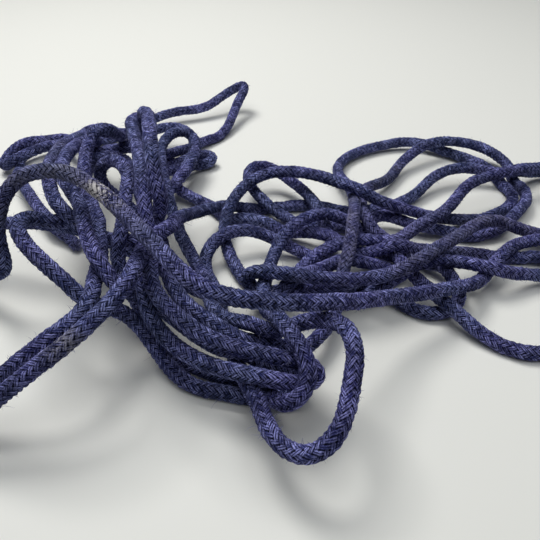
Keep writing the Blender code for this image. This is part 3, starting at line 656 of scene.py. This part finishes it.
def worn(where, marks):
    amount, pale = np.zeros_like(where), np.zeros_like(where)
    for name, begin, end, how, white in WEAR:
        low, high = marks[name]
        a, b = low + begin * (high - low), low + end * (high - low)
        soft = np.clip(np.minimum(where - a, b - where) / 10.0 + 0.5, 0.0, 1.0)
        amount = np.maximum(amount, how * soft)
        pale = np.maximum(pale, white * soft)
    return amount, pale


def tube_mesh(name, points, attributes, stitches):
    """One closed length of the cord from its rings, with its lay as a UV map."""
    rings, around = points.shape[:2]
    index = np.arange(rings * around).reshape(rings, around)
    nxt = np.roll(index, -1, axis=1)
    quads = np.stack([index[:-1], nxt[:-1], nxt[1:], index[1:]], axis=2).reshape(-1, 4)
    caps = [index[0, ::-1], index[-1]]
    mesh = bpy.data.meshes.new(name)
    corners = np.concatenate([quads.ravel(), *caps])
    starts = np.concatenate([np.arange(len(quads)) * 4, len(quads) * 4 + np.array([0, around])])
    mesh.vertices.add(rings * around)
    mesh.vertices.foreach_set("co", (points.reshape(-1, 3) / 1000.0).astype(np.float32).ravel())
    mesh.loops.add(len(corners))
    mesh.loops.foreach_set("vertex_index", corners.astype(np.int32))
    mesh.polygons.add(len(starts))
    mesh.polygons.foreach_set("loop_start", starts.astype(np.int32))
    smooth = np.ones(len(starts), bool)
    smooth[-2:] = False
    mesh.polygons.foreach_set("use_smooth", smooth)
    mesh.update(calc_edges=True)
    ends = np.empty(len(mesh.edges) * 2, np.int32)
    mesh.edges.foreach_get("vertices", ends)
    ring_of = ends.reshape(-1, 2) // around
    same = (ring_of[:, 0] == ring_of[:, 1]) & ((ring_of[:, 0] == 0) | (ring_of[:, 0] == rings - 1))
    sharp = mesh.attributes.new("sharp_edge", "BOOLEAN", "EDGE")
    sharp.data.foreach_set("value", same)
    ring, place = corners // around, (corners % around).astype(float)
    wrapped = np.zeros(len(corners))
    quad_place = place[:len(quads) * 4].reshape(-1, 4)
    last = quad_place[:, 0] == around - 1
    quad_wrap = np.zeros_like(quad_place)
    quad_wrap[last, 1:3] = around
    wrapped[:len(quads) * 4] = quad_wrap.ravel()
    lay = np.stack([(place + wrapped) / FINE, stitches[ring]], axis=1)
    layer = mesh.uv_layers.new(name="lay")
    layer.data.foreach_set("uv", lay.astype(np.float32).ravel())
    for key, values in attributes.items():
        made = mesh.attributes.new(key, "FLOAT", "POINT")
        made.data.foreach_set("value", np.ascontiguousarray(values, np.float32).ravel())
    mesh.validate()
    obj = bpy.data.objects.new(name, mesh)
    bpy.context.scene.collection.objects.link(obj)
    return obj


class Nodes:
    """Short way to write a material's node tree."""

    def __init__(self, name):
        self.material = bpy.data.materials.new(name)
        self.material.use_nodes = True
        self.tree = self.material.node_tree
        self.shader = self.tree.nodes["Principled BSDF"]

    def add(self, kind, **settings):
        node = self.tree.nodes.new(kind)
        for key, value in settings.items():
            setattr(node, key, value)
        return node

    def join(self, source, target):
        self.tree.links.new(source, target)

    def put(self, socket, value):
        if isinstance(value, bpy.types.NodeSocket):
            self.join(value, socket)
        else:
            socket.default_value = value

    def math(self, operation, a, b=None, c=None, clamp=False):
        node = self.add("ShaderNodeMath", operation=operation, use_clamp=clamp)
        for k, value in enumerate((a, b, c)):
            if value is not None:
                self.put(node.inputs[k], value)
        return node.outputs[0]

    def blend(self, factor, a, b, kind="MIX"):
        node = self.add("ShaderNodeMix", data_type="RGBA", blend_type=kind, clamp_factor=True)
        self.put(node.inputs[0], factor)
        self.put(node.inputs[6], a)
        self.put(node.inputs[7], b)
        return node.outputs[2]

    def span(self, value, low, high, to_low=0.0, to_high=1.0):
        node = self.add("ShaderNodeMapRange", interpolation_type="SMOOTHSTEP")
        for k, v in enumerate((value, low, high, to_low, to_high)):
            self.put(node.inputs[k], v)
        return node.outputs[0]

    def noise(self, vector, scale, detail=2.0, rough=0.5):
        node = self.add("ShaderNodeTexNoise")
        self.put(node.inputs["Vector"], vector)
        self.put(node.inputs["Scale"], scale)
        self.put(node.inputs["Detail"], detail)
        self.put(node.inputs["Roughness"], rough)
        return node.outputs["Fac"]

    def vector(self, x, y, z=0.0):
        node = self.add("ShaderNodeCombineXYZ")
        for k, value in enumerate((x, y, z)):
            self.put(node.inputs[k], value)
        return node.outputs[0]

    def choose(self, factor, low, high):
        node = self.add("ShaderNodeMix", data_type="FLOAT")
        self.put(node.inputs[0], factor)
        self.put(node.inputs[2], low)
        self.put(node.inputs[3], high)
        return node.outputs[0]

    def value(self, name):
        return self.add("ShaderNodeAttribute", attribute_name=name).outputs["Fac"]


SHADE_AND_DARK_MOTTLE = (0.0016, 0.0024, 0.012, 1.0)     # painted shade in the gaps of the braid and between its yarns, also the dark mottling of the dye
BODY = (0.018, 0.024, 0.124, 1.0)       # dyed cotton
LIGHT = (0.450, 0.475, 1.000, 1.0)      # painted highlight: fibres that catch the light
GREY = (0.115, 0.110, 0.128, 1.0)       # rubbed cotton
WHITE = (0.55, 0.53, 0.53, 1.0)         # undyed fibres
YARNS = 2.0                             # yarns that lie side by side in a strand



def cotton_material():
    n = Nodes("braided_cotton")
    uv = n.add("ShaderNodeUVMap", uv_map="lay").outputs[0]
    apart = n.add("ShaderNodeSeparateXYZ")
    n.join(uv, apart.inputs[0])
    turn, stitch = apart.outputs[0], apart.outputs[1]
    a, b = n.math("SUBTRACT", turn, stitch), n.math("ADD", turn, stitch)
    cell = n.math("FLOORED_MODULO", n.math("ADD", n.math("FLOOR", a), n.math("FLOOR", b)), 4.0)
    over = n.math("LESS_THAN", cell, 2.0)
    place = n.add("ShaderNodeTexCoord").outputs["Object"]
    speck = n.noise(place, 1500.0, 2.0, 0.6)
    patch = n.noise(place, 130.0, 3.0, 0.6)
    broad = n.noise(place, 28.0, 2.0, 0.5)

    def strand(across, along_it, seed):
        """Yarn ridges, fibres, and how strongly this strand shows its painted highlight."""
        waver = n.math("MULTIPLY_ADD", n.math("SUBTRACT", speck, 0.5), 0.30, across)
        ridge = n.math("ABSOLUTE", n.math("SINE", n.math("MULTIPLY", waver, math.pi * YARNS)))
        lines = n.noise(n.vector(n.math("MULTIPLY", across, 9.0), n.math("MULTIPLY", along_it, 0.8), seed), 1.0, 2.0, 0.6)
        shade = n.noise(n.vector(n.math("MULTIPLY", n.math("FLOOR", across), 3.71), n.math("MULTIPLY", along_it, 0.45), seed + 4.0), 1.0, 1.0, 0.5)
        return ridge, lines, shade

    both = zip(strand(a, b, 0.0), strand(b, a, 7.0))
    ridge, lines, shade = [n.choose(over, low, high) for high, low in both]
    depth = n.value("height")
    rub = n.value("rub")
    pale = n.value("pale")

    # painted highlight: ridge tops and fibre lines, stronger on some strands than others, mixed towards LIGHT as
    # light catching the fibres
    bright = n.math("MULTIPLY", ridge, n.span(lines, 0.28, 0.60))
    bright = n.math("MULTIPLY", bright, n.span(shade, 0.32, 0.68, 0.12, 1.0))
    colour = n.blend(bright, BODY, LIGHT)
    # painted glints: specks of LIGHT where single fibres catch the light
    colour = n.blend(n.span(speck, 0.54, 0.72, 0.0, 0.55), colour, LIGHT)
    # painted shade in the grooves between the yarns of each strand
    colour = n.blend(n.span(ridge, 0.10, 0.65, 0.62, 0.0), colour, SHADE_AND_DARK_MOTTLE)
    colour = n.blend(n.span(speck, 0.46, 0.28, 0.0, 0.6), colour, SHADE_AND_DARK_MOTTLE)
    colour = n.blend(n.span(patch, 0.35, 0.65, 0.50, 0.0), colour, SHADE_AND_DARK_MOTTLE)
    grey = n.math("MULTIPLY", rub, n.span(n.math("MULTIPLY_ADD", lines, 0.6, patch), 0.62, 1.0))
    colour = n.blend(grey, colour, GREY)
    fleck = n.math("MULTIPLY_ADD", patch, 0.5, n.math("MULTIPLY_ADD", lines, 0.35, n.math("MULTIPLY", speck, 0.5)))
    colour = n.blend(n.math("MULTIPLY", pale, n.span(fleck, 0.58, 0.76)), colour, WHITE)
    # painted shade: darker where the braid's relief is low, in the gaps between strands
    colour = n.blend(n.span(depth, 0.32, 0.88, 0.97, 0.0), colour, SHADE_AND_DARK_MOTTLE)
    tint = n.add("ShaderNodeHueSaturation")
    n.put(tint.inputs["Hue"], n.span(broad, 0.3, 0.7, 0.488, 0.506))
    n.put(tint.inputs["Value"], n.span(broad, 0.3, 0.7, 0.88, 1.12))
    n.put(tint.inputs["Color"], colour)
    n.join(tint.outputs[0], n.shader.inputs["Base Color"])
    n.shader.inputs["Roughness"].default_value = 0.85
    n.shader.inputs["Specular IOR Level"].default_value = 0.08
    n.shader.inputs["Sheen Weight"].default_value = 0.03
    n.shader.inputs["Sheen Roughness"].default_value = 0.45
    n.shader.inputs["Sheen Tint"].default_value = (0.60, 0.62, 0.95, 1.0)
    bump = n.add("ShaderNodeBump")
    bump.inputs["Strength"].default_value = 1.0
    bump.inputs["Distance"].default_value = 0.00022
    n.join(n.math("ADD", n.math("MULTIPLY", ridge, 0.8), n.math("ADD", n.math("MULTIPLY", lines, 0.8), n.math("MULTIPLY", speck, 0.6))), bump.inputs["Height"])
    n.join(bump.outputs[0], n.shader.inputs["Normal"])
    return n.material


def fibre_material():
    n = Nodes("loose_fibres")
    place = n.add("ShaderNodeTexCoord").outputs["Object"]
    mix = n.noise(place, 90.0, 2.0, 0.5)
    n.join(n.blend(n.span(mix, 0.4, 0.65), (0.060, 0.064, 0.210, 1.0), (0.30, 0.31, 0.55, 1.0)), n.shader.inputs["Base Color"])
    n.shader.inputs["Roughness"].default_value = 0.9
    n.shader.inputs["Specular IOR Level"].default_value = 0.2
    n.shader.inputs["Sheen Weight"].default_value = 0.1
    return n.material


def fibres(name, roots, directions, lengths, widths, curl, rng):
    """Fine fibres as narrow three-part ribbons, joined in one mesh."""
    count = len(roots)
    parts = 3
    lines = np.empty((count, parts + 1, 3))
    lines[:, 0] = roots
    heading = directions / np.linalg.norm(directions, axis=1)[:, None]
    bend = rng.normal(size=(count, 3))
    for k in range(parts):
        heading = heading + curl * bend * (0.6 + 0.4 * k)
        heading /= np.linalg.norm(heading, axis=1)[:, None]
        lines[:, k + 1] = lines[:, k] + heading * (lengths / parts)[:, None]
    across = np.cross(lines[:, 1] - lines[:, 0], rng.normal(size=(count, 3)))
    across /= np.maximum(np.linalg.norm(across, axis=1), 1e-9)[:, None]
    taper = np.array([1.0, 0.85, 0.6, 0.15])
    half = 0.5 * widths[:, None, None] * taper[None, :, None] * across[:, None, :]
    lines[:, :, 2] = np.maximum(lines[:, :, 2], 0.06)
    points = np.stack([lines - half, lines + half], axis=2).reshape(-1, 3)
    base = (np.arange(count) * (parts + 1) * 2)[:, None, None]
    step = (np.arange(parts) * 2)[None, :, None]
    quads = (base + step + np.array([0, 1, 3, 2])[None, None, :]).reshape(-1, 4)
    mesh = bpy.data.meshes.new(name)
    mesh.vertices.add(len(points))
    mesh.vertices.foreach_set("co", (points / 1000.0).astype(np.float32).ravel())
    mesh.loops.add(quads.size)
    mesh.loops.foreach_set("vertex_index", quads.astype(np.int32).ravel())
    mesh.polygons.add(len(quads))
    mesh.polygons.foreach_set("loop_start", (np.arange(len(quads)) * 4).astype(np.int32))
    mesh.polygons.foreach_set("use_smooth", np.ones(len(quads), bool))
    mesh.update(calc_edges=True)
    mesh.validate()
    obj = bpy.data.objects.new(name, mesh)
    bpy.context.scene.collection.objects.link(obj)
    return obj


def camera():
    data = bpy.data.cameras.new("camera")
    data.lens, data.sensor_width = 36.0, 36.0
    data.clip_start = 0.005
    obj = bpy.data.objects.new("camera", data)
    obj.location = (-0.008393, -0.227906, 0.168)
    obj.rotation_euler = (math.radians(90.0 - 41.0), 0.0, 0.0)
    bpy.context.scene.collection.objects.link(obj)
    bpy.context.scene.camera = obj


def lamp(name, place, target, size, power, colour):
    data = bpy.data.lights.new(name, "AREA")
    data.shape = "DISK"
    data.size, data.energy, data.color = size, power, colour
    obj = bpy.data.objects.new(name, data)
    obj.location = place
    way = np.array(target, float) - np.array(place, float)
    yaw = math.atan2(way[1], way[0])
    pitch = math.acos(-way[2] / np.linalg.norm(way))
    obj.rotation_euler = (pitch, 0.0, yaw - math.pi / 2)
    bpy.context.scene.collection.objects.link(obj)


def room():
    world = bpy.data.worlds.new("world")
    world.use_nodes = True
    world.node_tree.nodes["Background"].inputs[0].default_value = (0.93, 0.96, 1.0, 1.0)
    world.node_tree.nodes["Background"].inputs[1].default_value = 0.09
    bpy.context.scene.world = world
    lamp("overhead", (0.0, -0.05, 1.10), (0.0, 0.0, 0.0), 1.30, 7.0, (0.98, 0.99, 1.0))
    lamp("key", (-0.28, 0.36, 0.80), (0.0, 0.0, 0.0), 0.40, 5.3, (1.0, 0.98, 0.94))
    mesh = bpy.data.meshes.new("floor")
    mesh.from_pydata([(-3, -3, 0), (3, -3, 0), (3, 3, 0), (-3, 3, 0)], [], [(0, 1, 2, 3)])
    floor = bpy.data.objects.new("floor", mesh)
    bpy.context.scene.collection.objects.link(floor)
    n = Nodes("table")
    n.shader.inputs["Base Color"].default_value = (0.775, 0.785, 0.755, 1.0)
    n.shader.inputs["Roughness"].default_value = 0.6
    n.shader.inputs["Specular IOR Level"].default_value = 0.3
    mesh.materials.append(n.material)


def make():
    bpy.context.scene.view_settings.view_transform = "Standard"
    camera()
    fine, marks = laid_line()
    where, fine, points, height, out, stitches = braided(fine)
    rub, pale = worn(where, marks)
    cotton = cotton_material()
    cuts = np.linspace(0, len(fine) - 1, PIECES + 1).round().astype(int)
    for k in range(PIECES):
        a, b = cuts[k], cuts[k + 1] + 1
        attributes = {
            "height": height[a:b] / (STRAND_H + CROSS_H),
            "rub": np.repeat(rub[a:b, None], AROUND, 1),
            "pale": np.repeat(pale[a:b, None], AROUND, 1),
        }
        piece = tube_mesh(f"cord_{k + 1}", points[a:b], attributes, stitches[a:b])
        piece.data.materials.append(cotton)
        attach(piece, "root")
        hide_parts("cord")
    rng = np.random.default_rng(SEED)
    number = 28000
    ring = rng.integers(2, len(fine) - 2, number)
    spot = rng.integers(0, AROUND, number)
    roots = points[ring, spot]
    tangent = np.gradient(fine, axis=0)[ring]
    tangent /= np.linalg.norm(tangent, axis=1)[:, None]
    lean = rng.normal(size=(number, 1)) * 0.9
    directions = out[ring, spot] + lean * tangent + 0.5 * rng.normal(size=(number, 3))
    lengths = 0.55 + rng.gamma(1.5, 0.60, number)
    widths = np.full(number, 0.12)
    fuzz = fibres("fuzz", roots, directions, lengths, widths, 0.35, rng)
    loose = fibre_material()
    fuzz.data.materials.append(loose)
    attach(fuzz, "root")
    frays = []
    for first, step in ((0, 1), (len(fine) - 1, -1)):
        rows = first + step * rng.integers(0, 6, FRAY)
        spots = rng.integers(0, AROUND, FRAY)
        outward = fine[first] - fine[first + 8 * step]
        outward /= np.linalg.norm(outward)
        start = fine[first] + (points[rows, spots] - fine[first]) * rng.uniform(0.2, 0.98, (FRAY, 1))
        way = outward + 0.55 * out[rows, spots] + 0.35 * rng.normal(size=(FRAY, 3))
        frays.append((start, way))
    roots, directions = [np.concatenate(both) for both in zip(*frays)]
    fray = fibres("fray", roots, directions, 0.8 + rng.gamma(2.0, 0.45, 2 * FRAY), np.full(2 * FRAY, 0.16), 0.30, rng)
    fray.data.materials.append(loose)
    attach(fray, "root")
    room()


make()
